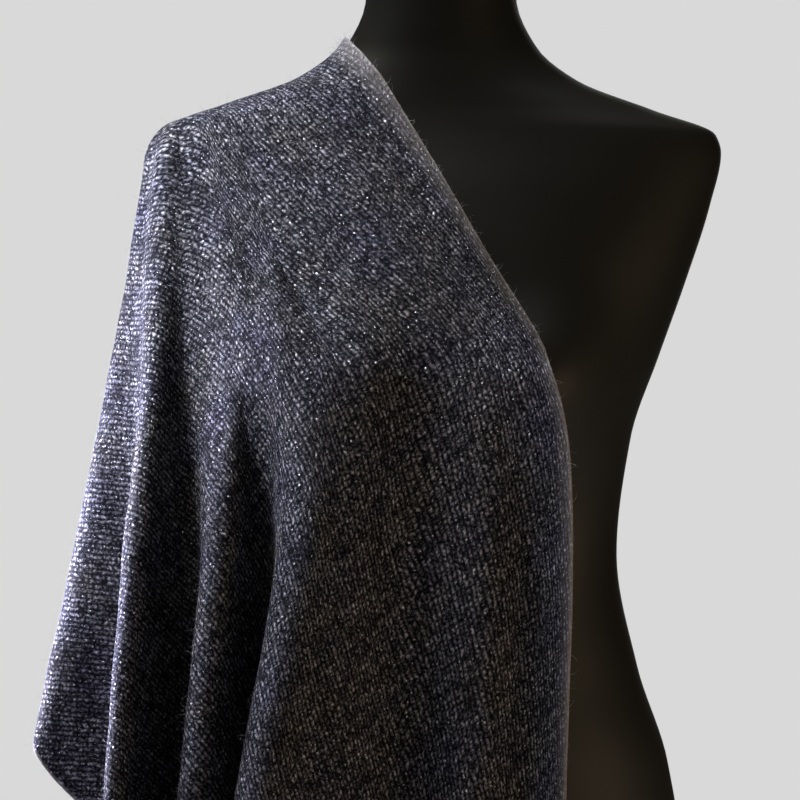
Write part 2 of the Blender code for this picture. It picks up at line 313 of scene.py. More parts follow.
def form_ring(height):
    half_width, front, back = form_section(height)
    middle, half_depth = (front + back) / 2, (back - front) / 2
    ring = []
    for k in range(FORM_SIDES):
        turn = 2 * math.pi * k / FORM_SIDES
        x = half_width * math.cos(turn)
        y = middle + half_depth * math.sin(turn)
        facing_front = max(0.0, -math.sin(turn))
        ring.append(Vector((x, y - bust(x, height) * facing_front, SHOULDER_HEIGHT + height)))
    return ring


def form_levels():
    """Heights of the form's rings: evenly spaced along its outline, and closer at the shoulder tip."""
    top, bottom = FORM_HEIGHTS[0], FORM_HEIGHTS[-1]
    samples = 800
    heights = [bottom + (top - bottom) * k / samples for k in range(samples + 1)]
    walked = [0.0]
    for low, high in zip(heights, heights[1:]):
        across = form_section(high)[0] - form_section(low)[0]
        weight = 1 + TIP_DENSITY * math.exp(-((high / TIP_REACH) ** 2))
        walked.append(walked[-1] + weight * math.hypot(high - low, across))
    return [float(np.interp(walked[-1] * k / FORM_RINGS, walked, heights)) for k in range(FORM_RINGS + 1)]


def loft(rings):
    """A closed surface through closed rings of equally many points, with flat ends."""
    shape = bmesh.new()
    rows = [[shape.verts.new(point) for point in ring] for ring in rings]
    sides = len(rings[0])
    for low, high in zip(rows, rows[1:]):
        for k in range(sides):
            following = (k + 1) % sides
            shape.faces.new((low[k], low[following], high[following], high[k]))
    for ring in (rows[0][::-1], rows[-1]):
        shape.faces.new(ring)
    bmesh.ops.recalc_face_normals(shape, faces=shape.faces)
    return shape


form_shape = loft([form_ring(height) for height in form_levels()])
form_skin = BVHTree.FromBMesh(form_shape)
form_mesh = mesh_of(form_shape, "smooth_form")
form_mesh.set_sharp_from_angle(angle=math.radians(40))
print("form faces:", len(form_mesh.polygons))

# %% [markdown]
# ## Satin black skin
# The moulding is black with a trace of olive, and smooth but not mirror-like: lights show on it as soft
# patches. A little unevenness in its gloss, and a shallow orange-peel in its surface, keep it from looking
# like ink. Its colours are dark even for a black, because under these lamps a lighter one turned grey.


# %% Form material
def satin_black():
    material, start, shader = paint("satin_black_form", {"Specular IOR Level": 0.18})
    place = start.node("ShaderNodeTexCoord").out("Object")
    broad = start.cloud(place, 9.0, 3.0)
    fine = start.cloud(place, 900.0, 2.0)
    colour = broad.ramp((0.3, (0.0065, 0.0064, 0.0054)), (0.7, (0.0085, 0.0083, 0.0069)))
    bump = start.node("ShaderNodeBump", {}, {"Strength": 0.12, "Distance": 0.0002, "Height": fine})
    plug(shader, {"Base Color": colour, "Roughness": broad * 0.12 + 0.48, "Normal": bump})
    return material


form = placed("smooth_dress_form", form_mesh, satin_black())
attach(form, "root")
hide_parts("dress_form")

# %% [markdown]
# ## The shawl's cut and its folds
# The shawl was knitted flat as a triangle. Its long edge passes the neck, one end hangs in front and the other
# behind, and the third point hangs at the side. Where it lies is worked out line by line: each line starts on
# the ridge of the shoulder and falls to the hem, and is exactly as long as on the flat cut, so the hem comes
# out where the cut puts it. A simulation could drape the cloth too, but folds that have to match a picture are
# quicker placed one by one, so the table gives each fold line's place at four heights.

# %% Cut and folds
FRONT_LENGTH = 0.85
BACK_LENGTH = 0.98
TIP_ALONG = 0.36
TIP_AWAY = 0.826
SHOULDER_SPAN = 0.137


def corner_angle(along, away):
    """A place's direction from the tip of the shoulder on the flat cloth. 0 is what hangs at the side."""
    return math.degrees(math.atan2(along, away - SHOULDER_SPAN))


FRONT_TIP = corner_angle(FRONT_LENGTH, 0.0)
LOW_TIP = corner_angle(TIP_ALONG, TIP_AWAY)
BACK_TIP = corner_angle(-BACK_LENGTH, 0.0)
Fold = namedtuple("Fold", "name angle start chest bust waist hip")
FOLDS = (
    Fold("front_edge", FRONT_TIP, -0.0655, (0.0265, 0.0), (0.0765, -0.134), (0.089, -0.134), (0.084, -0.14)),
    Fold("edge_dip", 94.5, -0.079, (0.005, 0.0), (0.054, -0.127), (0.06, -0.121), (0.055, -0.129)),
    Fold("panel_right", 90.0, -0.092, (-0.018, 0.0), (0.027, -0.123), (0.026, -0.128), (0.018, -0.137)),
    Fold("panel_dip", 84.0, -0.108, (-0.052, 0.0), (-0.014, -0.121), (-0.025, -0.121), (-0.03, -0.119)),
    Fold("panel_left", 76.5, -0.128, (-0.088, 0.0), (-0.058, -0.131), (-0.069, -0.137), (-0.086, -0.144)),
    Fold("crest_3", 69.0, -0.146, (-0.12, -0.072), (-0.096, -0.128), (-0.104, -0.138), (-0.137, -0.15)),
    Fold("valley_3", 59.5, -0.159, (-0.136, -0.066), (-0.126, -0.113), (-0.124, -0.1), (-0.128, -0.078)),
    Fold("crest_2", 50.0, -0.17, (-0.152, -0.067), (-0.152, -0.094), (-0.157, -0.12), (-0.173, -0.138)),
    Fold("valley_2", 40.0, -0.18, (-0.178, -0.05), (-0.18, -0.058), (-0.177, -0.064), (-0.178, -0.053)),
    Fold("crest_1", LOW_TIP, -0.185, (-0.201, -0.044), (-0.205, -0.066), (-0.216, -0.095), (-0.23, -0.118)),
    Fold("valley_1", 14.0, -0.185, (-0.211, -0.018), (-0.213, -0.024), (-0.209, -0.028), (-0.205, -0.01)),
    Fold("side_crest", 0.0, -0.185, (-0.221, 0.006), (-0.238, 0.008), (-0.261, 0.01), (-0.297, 0.012)),
    Fold("back_valley_1", -12.0, -0.185, (-0.212, 0.029), (-0.214, 0.036), (-0.211, 0.04), (-0.208, 0.04)),
    Fold("back_crest_1", -24.0, -0.185, (-0.208, 0.052), (-0.216, 0.08), (-0.229, 0.1), (-0.248, 0.125)),
    Fold("back_valley_2", -36.0, -0.18, (-0.188, 0.054), (-0.188, 0.07), (-0.189, 0.066), (-0.192, 0.052)),
    Fold("back_crest_2", -48.0, -0.17, (-0.168, 0.07), (-0.173, 0.102), (-0.184, 0.119), (-0.205, 0.14)),
    Fold("back_valley_3", -58.5, -0.159, (-0.145, 0.06), (-0.145, 0.095), (-0.147, 0.092), (-0.152, 0.085)),
    Fold("back_crest_3", -69.0, -0.146, (-0.12, 0.06), (-0.112, 0.114), (-0.127, 0.134), (-0.15, 0.16)),
    Fold("back_panel_left", -77.0, -0.128, (-0.086, 0.0), (-0.064, 0.108), (-0.077, 0.129), (-0.09, 0.15)),
    Fold("back_panel_dip", -84.0, -0.108, (-0.05, 0.0), (-0.018, 0.104), (-0.026, 0.116), (-0.032, 0.134)),
    Fold("back_panel_right", -90.0, -0.092, (-0.02, 0.0), (0.018, 0.106), (0.016, 0.122), (0.012, 0.146)),
    Fold("back_edge_dip", -94.0, -0.079, (0.002, 0.0), (0.044, 0.103), (0.048, 0.118), (0.044, 0.138)),
    Fold("back_edge", BACK_TIP, -0.0655, (0.022, 0.0), (0.068, 0.104), (0.076, 0.121), (0.074, 0.142)),
)
CHEST_HEIGHT = -0.072
BUST_LEVEL = -0.165
WAIST_HEIGHT = -0.280
HIP_HEIGHT = -0.453
LOW_HEIGHT = -0.850
SPREAD_BELOW_HIP = 0.6
TOP_DROP = 0.030
TOP_SHARE_ON_FORM = 0.25
TOP_SHARE_AT_TIP = 0.75
TIP_ANGLES = (60.0, 40.0)
RIDGE_HEIGHTS = (0.011, 0.108)
CLEARANCE = 0.0022
SOFT_TOUCH = 0.004
SOFT_LEAVE = 0.006
PATH_POINTS = 260
LONGEST_DROP = 1.05
SHAWL_ROWS = 165
ROW_CROWDING = 1.25
PANEL_COLUMNS = 11
FOLD_COLUMNS = 15
LIFT = Vector((0, 0, SHOULDER_HEIGHT))
print("long edge:", round(FRONT_LENGTH + BACK_LENGTH, 3), "m; point", TIP_AWAY, "m from it")


# %% [markdown]
# ## One line of hanging cloth
# A line leaves the ridge of the shoulder, rounds the tip of it, and then passes through its four places.
# Where the form is in the way, the line is brought out to lie on it, with a soft approach, so that no kink
# shows where cloth meets form. Walking down the line in equal shares of its own length gives the rows.


# %% Lines of cloth
def cut_reach(angle):
    """How far the flat triangle reaches from the shoulder tip, in a direction given in degrees."""
    along, across = math.sin(math.radians(angle)), math.cos(math.radians(angle))
    corners = ((-BACK_LENGTH, 0.0), (TIP_ALONG, TIP_AWAY), (FRONT_LENGTH, 0.0))
    nearest = math.inf
    for (a1, d1), (a2, d2) in zip(corners, corners[1:]):
        crossing = along * (d2 - d1) - across * (a2 - a1)
        if abs(crossing) < 1e-9:
            continue
        reach = (a1 * (d2 - d1) - (d1 - SHOULDER_SPAN) * (a2 - a1)) / crossing
        if reach > 0:
            nearest = min(nearest, reach)
    return nearest


def flat_ends(fold):
    """Where a fold line starts and ends on the flat cut: along the neck edge, and away from it."""
    reach, angle = cut_reach(fold.angle), math.radians(fold.angle)
    share = (fold.start - FOLDS[0].start) / (min(f.start for f in FOLDS) - FOLDS[0].start)
    first = Vector((0.0, SHOULDER_SPAN * share))
    return first, Vector((reach * math.sin(angle), SHOULDER_SPAN + reach * math.cos(angle)))


def ridge_point(x):
    """The highest point of the bare shoulder at x."""
    low, high = RIDGE_HEIGHTS
    for _ in range(40):
        middle = (low + high) / 2
        if form_section(middle)[0] > abs(x):
            low = middle
        else:
            high = middle
    _, front, back = form_section(low)
    return Vector((x, (front + back) / 2, low))


def held_off(point):
    """The point, moved out of the form where it would lie nearer than the clearance."""
    near, normal, _, distance = form_skin.find_nearest(point)
    away = point - near
    outside = away.dot(normal) > 0
    depth = distance if outside else -distance
    if depth > CLEARANCE + SOFT_TOUCH:
        return point
    share = (CLEARANCE + SOFT_TOUCH - depth) / (2 * SOFT_TOUCH)
    shift = SOFT_TOUCH * share * share if share < 1 else CLEARANCE - depth
    direction = away.normalized() if outside and distance > 1e-4 else normal
    return point + direction * shift


def hanging_place(fold, start, drop):
    """Where a fold line is when it has dropped this far below its start, before the form holds it off."""
    height = start.z - drop
    heights = (start.z - TOP_DROP, CHEST_HEIGHT, BUST_LEVEL, WAIST_HEIGHT, HIP_HEIGHT, LOW_HEIGHT)
    below = SPREAD_BELOW_HIP * (HIP_HEIGHT - LOW_HEIGHT) / (WAIST_HEIGHT - HIP_HEIGHT)
    at_tip = smoothstep(TIP_ANGLES[0], TIP_ANGLES[1], abs(fold.angle))
    top_share = TOP_SHARE_ON_FORM + (TOP_SHARE_AT_TIP - TOP_SHARE_ON_FORM) * at_tip
    fallen = min(drop / TOP_DROP, 1.0)
    dome = math.sqrt(1 - (1 - fallen) ** 2)
    out = fallen + (dome - fallen) * at_tip
    place = []
    for axis in (0, 1):
        chest, bust_place, waist, hip = (spot[axis] for spot in fold[3:])
        top = start[axis] + (chest - start[axis]) * top_share
        low = hip + (hip - waist) * below
        at = monotone(heights, (top, chest, bust_place, waist, hip, low), height, brisk=axis == 0)
        place.append(start[axis] + (at - start[axis]) * out)
    return Vector((*place, height))


def laid_on_form(place, side):
    """The hanging place, brought out to the form's front (side -1) or back (side 1) if it is inside."""
    origin = Vector((place.x, side, place.z + SHOULDER_HEIGHT))
    hit = form_skin.ray_cast(origin, Vector((0, -side, 0)))[0]
    if hit is None:
        return place
    proud = side * (hit.y - place.y)
    if proud < -SOFT_LEAVE:
        return place
    share = (SOFT_LEAVE + proud) / (2 * SOFT_LEAVE)
    shift = SOFT_LEAVE * share * share if share < 1 else proud
    return place + Vector((0, side * shift, 0))


def column(fold):
    """The shawl's inner points down one line, from the ridge of the shoulder to the hem."""
    start = ridge_point(fold.start)
    side = -1 if fold.angle >= 0 else 1
    first, last = flat_ends(fold)
    path = [held_off(start + LIFT)]
    for k in range(1, PATH_POINTS + 1):
        place = hanging_place(fold, start, LONGEST_DROP * (k / PATH_POINTS) ** 2)
        path.append(held_off(laid_on_form(place, side) + LIFT))
    path = np.array(path)
    walked = np.concatenate(([0.0], np.cumsum(np.linalg.norm(np.diff(path, axis=0), axis=1))))
    at = (last - first).length * (np.arange(SHAWL_ROWS + 1) / SHAWL_ROWS) ** ROW_CROWDING
    return np.stack([np.interp(at, walked, path[:, axis]) for axis in range(3)], axis=1)


def fold_between(place):
    """A line of the cloth between two rows of the table, curved smoothly but for where it starts."""
    k = min(int(place), len(FOLDS) - 2)
    start = FOLDS[k].start + (FOLDS[k + 1].start - FOLDS[k].start) * (place - k)
    angle = FOLDS[k].angle + (FOLDS[k + 1].angle - FOLDS[k].angle) * (place - k)
    spots = [rounded([Vector(getattr(f, level)) for f in FOLDS], place) for level in Fold._fields[3:]]
    return Fold(FOLDS[k].name, angle, start, *spots)


def column_places():
    """Where in the table the shawl's columns lie, with fewer across the plain panels than in folds."""
    places = []
    for k, fold in enumerate(FOLDS[:-1]):
        plain = "panel" in fold.name or "edge" in fold.name or "panel" in FOLDS[k + 1].name
        count = PANEL_COLUMNS if plain else FOLD_COLUMNS
        places += [k + i / count for i in range(count)]
    return [*places, len(FOLDS) - 1]


lines = [fold_between(place) for place in column_places()]
places = np.stack([column(line) for line in lines])
print("cloth grid:", places.shape[:2], "hem lowest at", round(float(places[..., 2].min()), 3))

# %% [markdown]
# ## From lines to cloth
# The grid of points becomes one sheet. Each point also keeps its place on the flat cut, as a UV map in metres,
# because the knit pattern belongs to the cloth and not to the room: the ribs of stitches run within eight
# degrees of the neck edge, so they lean across the chest and lie level on the side fold, as the real ones do.
# Knitting is never quite even, so slow noise lifts the sheet by a millimetre here and there, always away from
# the form.

# %% Flat places and directions
ends = [flat_ends(line) for line in lines]
shares = (np.arange(SHAWL_ROWS + 1) / SHAWL_ROWS) ** ROW_CROWDING
flat = np.stack([np.array(a)[None] + shares[:, None] * (np.array(b) - np.array(a))[None] for a, b in ends])
KNIT_LEAN = math.radians(8.0)
along, away = flat[..., 0].copy(), flat[..., 1].copy()
flat[..., 0] = along * math.cos(KNIT_LEAN) - away * math.sin(KNIT_LEAN)
flat[..., 1] = away * math.cos(KNIT_LEAN) + along * math.sin(KNIT_LEAN)
by_column, by_row = np.gradient(places, axis=0), np.gradient(places, axis=1)
flat_column, flat_row = np.gradient(flat, axis=0), np.gradient(flat, axis=1)
turning = flat_column[..., 0] * flat_row[..., 1] - flat_row[..., 0] * flat_column[..., 1]
turning = np.where(np.abs(turning) < 1e-9, 1e-9, turning)[..., None]
along_wale = (by_column * flat_row[..., 1:] - by_row * flat_column[..., 1:]) / turning
along_wale /= np.maximum(np.linalg.norm(along_wale, axis=2, keepdims=True), 1e-6)

UNEVEN_LIFT = 0.0016
UNEVEN_LENGTH = 0.045
UNEVEN_FROM_RIDGE = 0.05
EDGE_BAND = 0.017
EDGE_BAND_SHARE = 0.45


def unit(vectors):
    return vectors / np.maximum(np.linalg.norm(vectors, axis=-1, keepdims=True), 1e-9)


def edge_lean():
    """How much each grid point belongs to the cloth's edges, and which way the edge faces there."""
    columns, rows = places.shape[:2]
    lean, weight = np.zeros_like(places), np.zeros((columns, rows))
    for edge, inner in (((0, slice(None)), (1, slice(None))), ((-1, slice(None)), (-2, slice(None)))):
        lean[edge] += unit(places[edge] - places[inner])
        weight[edge] = 1.0
    lean[:, -1] += unit(places[:, -1] - places[:, -2])
    weight[:, -1] = 1.0
    return unit(lean), weight


edge_way, edge_weight = edge_lean()
band = EDGE_BAND_SHARE * np.clip(1 - np.abs(away) / EDGE_BAND, 0.0, 1.0)


def sheet_shape():
    """The cloth as one bmesh sheet, with its flat place, its edges and its rib direction kept on it."""
    shape = bmesh.new()
    keep = {
        "fuzz": shape.verts.layers.float.new("fuzz"),
        "lean": shape.verts.layers.float_vector.new("lean"),
        "wale": shape.verts.layers.float_vector.new("wale"),
    }
    uv = shape.loops.layers.uv.new("flat_cloth")
    columns, rows = places.shape[:2]
    grid = []
    for c in range(columns):
        grid.append([])
        for r in range(rows):
            point = shape.verts.new(places[c, r])
            point[keep["fuzz"]] = float(max(edge_weight[c, r], band[c, r]))
            point[keep["lean"]] = Vector(edge_way[c, r]) * float(edge_weight[c, r])
            point[keep["wale"]] = Vector(along_wale[c, r])
            grid[-1].append(point)
    for c in range(columns - 1):
        for r in range(rows - 1):
            corners = ((c, r), (c, r + 1), (c + 1, r + 1), (c + 1, r))
            face = shape.faces.new([grid[i][j] for i, j in corners])
            for loop, (i, j) in zip(face.loops, corners):
                loop[uv].uv = (flat[i, j, 1], flat[i, j, 0])
    bmesh.ops.remove_doubles(shape, verts=shape.verts, dist=0.0001)
    bmesh.ops.recalc_face_normals(shape, faces=shape.faces)
    shape.normal_update()
    front = min(shape.faces, key=lambda face: face.calc_center_median().y)
    if front.normal.y > 0:
        bmesh.ops.reverse_faces(shape, faces=shape.faces)
        shape.normal_update()
    lifts = []
    for point in shape.verts:
        below = SHOULDER_HEIGHT + 0.06 - point.co.z
        slow = noise.noise(point.co / UNEVEN_LENGTH) + 0.5 * noise.noise(point.co * 2.3 / UNEVEN_LENGTH)
        lifts.append((point, (0.5 + 0.5 * slow) * UNEVEN_LIFT * smoothstep(0.0, UNEVEN_FROM_RIDGE, below)))
    for point, lift in lifts:
        point.co += point.normal * lift
    shape.normal_update()
    return shape


cloth_shape = sheet_shape()
print("sheet:", len(cloth_shape.faces), "faces,", round(sum(f.calc_area() for f in cloth_shape.faces), 3), "m2")

# %% [markdown]
# ## The stockinette finish
# Stockinette shows columns of small Vs, called wales. Each V is two slanting legs of yarn. The yarn is a dark
# navy and grey mohair twisted with a silver thread, so every leg has its own shade and some of them flash.
# The hollows between the legs are painted almost black, as painted shade for the shadow in them, and that is
# what makes the ribs readable from afar. Mohair is a clumpy yarn, so soft noise thins the legs here and there,
# which widens that painted shade. Near its edges the cloth pales to a brownish grey: partly the loose fibres,
# which are thickest there, and partly painted light, the warm rim that the lamps put on the fuzzy edge. An
# image could be tiled over the cloth, but this pattern is worked out from the flat place instead, so it never
# blurs or repeats.

# %% Knit measures
WALE = 0.0072
COURSE = 0.0050
LEG_SLANT = 1.3
WANDER = 0.36
LEG_ROUND, LOOP_ROUND = 1.7, 2.5
RIB_SHADE = 2.0
KNIT_DEPTH = 0.0018
FLECK = 0.0009
FLECK_SHARE = 0.035
DRIFTS, CLUMPS, FIBRES, PATCHES = 110.0, 430.0, 2200.0, 22.0  # noise cells per metre of cloth
CLUMP_THINS, CLUMP_LEAST = 4.0, 0.12
YARN_SHADES = (
    (0.0, (0.005, 0.005, 0.008)),
    (0.3, (0.034, 0.034, 0.046)),
    (0.55, (0.135, 0.132, 0.155)),
    (0.8, (0.30, 0.295, 0.335)),
    (1.0, (0.52, 0.51, 0.56)),
)
PATCH_HUES = ((0.3, (0.86, 0.84, 1.0)), (0.5, (1.0, 1.0, 1.0)), (0.7, (1.0, 0.95, 0.82)))
# Painted shade: the near-black colour that the hollows between the legs are painted, standing in for their
# shadow.
PAINTED_HOLLOW_SHADE = (0.0015, 0.0015, 0.003, 1.0)
SILVER = (0.46, 0.46, 0.51, 1.0)
# Partly painted light: the pale brown that the edges are mixed towards stands for their loose fibres and for a
# warm rim light on them.
EDGE_FUZZ_AND_RIM_LIGHT, EDGE_FUZZ_AND_LIGHT_SHARE = (0.33, 0.30, 0.28, 1.0), 0.55
KNIT_ROUGHNESS, SILVER_SMOOTHER = 0.85, 0.45


def stockinette():
    material, start, shader = paint("mohair_stockinette", {"Specular IOR Level": 0.06})
    cloth = start.node("ShaderNodeUVMap", {"uv_map": "flat_cloth"})
    drift = start.cloud(cloth, DRIFTS, 2.0)
    drift = start.node("ShaderNodeSeparateXYZ", {}, {"Vector": drift.out("Color")})
    split = start.node("ShaderNodeSeparateXYZ", {}, {"Vector": cloth})
    across = split / WALE + (drift - 0.5) * WANDER
    along = split.out("Y") / COURSE + (drift.out("Y") - 0.5) * WANDER * 2
    side = (across.math("FRACT") - 0.5).math("ABSOLUTE")
    climbing = along + side * LEG_SLANT
    leg = 1 - (side * 4 - 1).math("ABSOLUTE").math("POWER", LEG_ROUND)
    rib = 1 - side * side * RIB_SHADE
    loop = 1 - ((climbing.math("FRACT") - 0.5) * 2).math("ABSOLUTE").math("POWER", LOOP_ROUND)
    clump = start.cloud(cloth, CLUMPS, 1.5)
    full = ((clump - 0.5) * CLUMP_THINS + 0.8).math("MAXIMUM", CLUMP_LEAST).math("MINIMUM", 1.0)
    height = (rib * leg * (loop * 0.7 + 0.3) * full).math("MAXIMUM", 0.0).math("POWER", 1.15)

    leg_number, course_number = (across * 2).math("FLOOR"), climbing.math("FLOOR")
    stitch = start.node("ShaderNodeCombineXYZ", {}, {"X": leg_number, "Y": course_number, "Z": 0.0})
    chance = start.node("ShaderNodeTexWhiteNoise", {"noise_dimensions": "3D"}, {"Vector": stitch})
    yarn_place = start.node("ShaderNodeCombineXYZ", {}, {"X": across * 0.22, "Y": along * 0.8, "Z": 0.0})
    yarn = start.cloud(yarn_place, 1.0, 3.0)
    fibre = start.cloud(cloth, FIBRES, 3.0)
    patch = start.cloud(cloth, PATCHES, 3.0)
    tone = chance * 0.45 + (yarn - 0.5) * 0.7 + (clump - 0.5) * 1.3 + (fibre - 0.5) * 0.4 + 0.27
    melange = tone.ramp(*YARN_SHADES)
    tinted = start.mix(1.0, melange, patch.ramp(*PATCH_HUES), "MULTIPLY")
    # Painted shade: where the legs are low, the colour is mixed down towards the near-black hollow colour.
    painted_groove_shade = start.mix(height * 0.98 + 0.02, PAINTED_HOLLOW_SHADE, tinted)
    flecks = start.node("ShaderNodeTexVoronoi", {}, {"Vector": cloth, "Scale": 1 / FLECK}).out("Color")
    flecks = start.node("ShaderNodeSeparateXYZ", {}, {"Vector": flecks})
    silver = flecks.math("GREATER_THAN", 1 - FLECK_SHARE) * height.math("GREATER_THAN", 0.4)
    colour = start.mix(silver, painted_groove_shade, SILVER)
    # Partly painted light: near the edges the colour is mixed towards pale brown, for the loose fibres and for
    # a warm rim light.
    edge = start.node("ShaderNodeAttribute", {"attribute_name": "fuzz"}).out("Fac")
    colour = start.mix(edge * EDGE_FUZZ_AND_LIGHT_SHARE, colour, EDGE_FUZZ_AND_RIM_LIGHT)
    relief = height + (fibre - 0.5) * 0.35
    bump = start.node("ShaderNodeBump", {}, {"Strength": 0.9, "Distance": KNIT_DEPTH, "Height": relief})
    roughness = KNIT_ROUGHNESS - silver * SILVER_SMOOTHER
    plug(shader, {"Base Color": colour, "Roughness": roughness, "Metallic": silver, "Normal": bump})
    return material


# %% [markdown]
# ## Giving the sheet its wall
# The finished knitting is about two millimetres thick. Solidify grows it outwards from the side that lies on
# the form, so it never sinks in, and a small Bevel rounds the cut edge. Both are applied here.

# %% Shawl piece
WALL = 0.0020
EDGE_ROUND = 0.0007

outer_shape = cloth_shape.copy()
for point in outer_shape.verts:
    point.co += point.normal * WALL
outer_skin = mesh_of(outer_shape, "outer_skin")
knit = stockinette()
shawl = placed("triangle_shawl", mesh_of(cloth_shape, "triangle_shawl"), knit)
wall = shawl.modifiers.new("wall", "SOLIDIFY")
wall.thickness = WALL
wall.offset = 1.0
rounding = shawl.modifiers.new("rounded edge", "BEVEL")
rounding.width = EDGE_ROUND
rounding.segments = 2
rounding.limit_method = "ANGLE"
rounding.angle_limit = math.radians(60)


def settled(piece):
    """The piece's mesh as its modifiers leave it."""
    graph = bpy.context.evaluated_depsgraph_get()
    graph.update()
    shaped = piece.evaluated_get(graph)
    return bpy.data.meshes.new_from_object(shaped, preserve_all_data_layers=True, depsgraph=graph)


finished = settled(shawl)
shawl.modifiers.clear()
shawl.data = finished
print("shawl faces:", len(finished.polygons), "triangles:", sum(len(p.vertices) - 2 for p in finished.polygons))

# %% [markdown]
# ## Mohair halo and silver thread, grown by Geometry Nodes
# Mohair sheds a mist of fine hairs, longest and easiest to see along an edge, and the silver thread shows as
# thousands of short bright slivers. Both follow one rule and repeat, so each is a small tree of Geometry
# Nodes: points are scattered over the cloth, and a hair or a sliver is put on each one. The trees end in real
# geometry, because a copy that is only an instance would be lost when the model is saved.


# %% Tree helpers
def geometry_tree(name, sizes):
    """A Geometry Nodes tree with a named input for each size, and the wires of its inputs."""
    tree = bpy.data.node_groups.new(name, "GeometryNodeTree")
    tree.interface.new_socket("Cloth", in_out="INPUT", socket_type="NodeSocketGeometry")
    for size in sizes:
        kind = "NodeSocketInt" if size == "Seed" else "NodeSocketFloat"
        tree.interface.new_socket(size, in_out="INPUT", socket_type=kind)
    tree.interface.new_socket("Finish", in_out="INPUT", socket_type="NodeSocketMaterial")
    tree.interface.new_socket("Made", in_out="OUTPUT", socket_type="NodeSocketGeometry")
    start = Wire(tree)
    given = start.node("NodeGroupInput")
    wires = {s.name: Wire(tree, s) for s in given.socket.node.outputs if s.name}
    return tree, start, wires


def end_tree(start, wires, shape):
    """Makes the tree's copies real, gives them their material and sends them out."""
    real = start.node("GeometryNodeRealizeInstances", {}, {"Geometry": shape})
    dressed = start.node("GeometryNodeSetMaterial", {}, {"Geometry": real, "Material": wires["Finish"]})
    start.node("NodeGroupOutput", {}, {0: dressed})


def grown(name, tree, sizes, finish):
    """Runs a tree over the cloth's outer skin and keeps the result as a plain mesh piece."""
    host = placed(name, outer_skin.copy(), finish)
    growing = host.modifiers.new(name, "NODES")
    growing.node_group = tree
    keys = {s.name: s.identifier for s in tree.interface.items_tree if s.in_out == "INPUT"}
    for size, value in {**sizes, "Finish": finish}.items():
        growing[keys[size]] = value
    mesh = settled(host)
    host.modifiers.clear()
    host.data = mesh
    for attribute in ("fuzz", "lean", "wale"):
        if attribute in mesh.attributes:
            mesh.attributes.remove(mesh.attributes[attribute])
    print(name, "triangles:", sum(len(p.vertices) - 2 for p in mesh.polygons))
    return host


# %% [markdown]
# A hair is a short tube of three sides along a bent curve, thinner at its tip. It stands on the cloth and leans
# at random. At an edge of the cloth it leans out over the edge, which is where mohair shows best, and more
# hairs than elsewhere stand there and in a narrow band along the neck edge.

# %% Mohair halo
HAIR_BEND = {
    "Start": (0.0, 0.0, -0.0008),
    "Start Handle": (0.0, 0.0, 0.003),
    "End Handle": (0.0018, 0.0, 0.0045),
    "End": (0.0045, 0.001, 0.0056),
}
LEAN_OUT = (2.2, 2.2, 2.2)
TIP_THINS = 0.8


def mohair_tree():
    sizes = ("Hairs per square metre", "Edge hairs", "Length", "Thickness", "Seed")
    tree, start, given = geometry_tree("mohair_halo", sizes)
    fuzz = start.node("GeometryNodeInputNamedAttribute", {"data_type": "FLOAT"}, {"Name": "fuzz"})
    lean = start.node("GeometryNodeInputNamedAttribute", {"data_type": "FLOAT_VECTOR"}, {"Name": "lean"})
    density = given["Hairs per square metre"] * (1 + fuzz * given["Edge hairs"])
    points = start.node(
        "GeometryNodeDistributePointsOnFaces",
        {"distribute_method": "RANDOM"},
        {"Mesh": given["Cloth"], "Density": density, "Seed": given["Seed"]},
    )
    bent = start.node("GeometryNodeCurvePrimitiveBezierSegment", {}, {"Resolution": 3, **HAIR_BEND})
    taper = start.node("GeometryNodeSplineParameter")
    ring = start.node(
        "GeometryNodeCurvePrimitiveCircle", {}, {"Resolution": 3, "Radius": given["Thickness"]}
    )
    hair = start.node(
        "GeometryNodeCurveToMesh",
        {},
        {"Curve": bent, "Profile Curve": ring, "Fill Caps": True, "Scale": 1 - taper * TIP_THINS},
    )
    way = start.node(
        "ShaderNodeVectorMath",
        {"operation": "MULTIPLY_ADD"},
        {0: lean, 1: LEAN_OUT, 2: points.out("Normal")},
    )
    stand = start.node("FunctionNodeAlignRotationToVector", {"axis": "Z"}, {"Vector": way})
    swing = start.node(
        "FunctionNodeRandomValue",
        {"data_type": "FLOAT_VECTOR"},
        {"Min": (-0.7, -0.7, 0.0), "Max": (0.7, 0.7, 2 * math.pi), "Seed": given["Seed"]},
    )
    turned = start.node(
        "FunctionNodeRotateRotation",
        {"rotation_space": "LOCAL"},
        {"Rotation": stand, "Rotate By": start.node("FunctionNodeEulerToRotation", {}, {"Euler": swing})},
    )
    size = start.node(
        "FunctionNodeRandomValue",
        {"data_type": "FLOAT"},
        {"Min": 0.45, "Max": 1.25, "Seed": 11},
    )
    hairs = start.node(
        "GeometryNodeInstanceOnPoints",
        {},
        {"Points": points, "Instance": hair, "Rotation": turned, "Scale": size * given["Length"]},
    )
    end_tree(start, given, hairs)
    return tree


def mohair_hair():
    material, start, shader = paint(
        "mohair_hair", {"Specular IOR Level": 0.5, "Sheen Weight": 0.3, "Sheen Tint": (0.8, 0.8, 1.0, 1.0)}
    )
    place = start.node("ShaderNodeTexCoord").out("Object")
    shade = start.cloud(place, 60.0, 1.0)
    colour = shade.ramp((0.35, (0.13, 0.13, 0.17)), (0.65, (0.34, 0.335, 0.37)))
    plug(shader, {"Base Color": colour, "Roughness": shade * 0.2 + 0.45})
    return material


halo = grown(
    "mohair_halo",
    mohair_tree(),
    {"Hairs per square metre": 5000.0, "Edge hairs": 34.0, "Length": 1.0, "Thickness": 0.00008, "Seed": 4},
    mohair_hair(),
)

# %% [markdown]
# A sliver of silver thread is a flat spindle along the rib of stitches, tilted a little at random, so that
# each catches the light from its own side. Few of them flash at once, and that is what sparkle is.


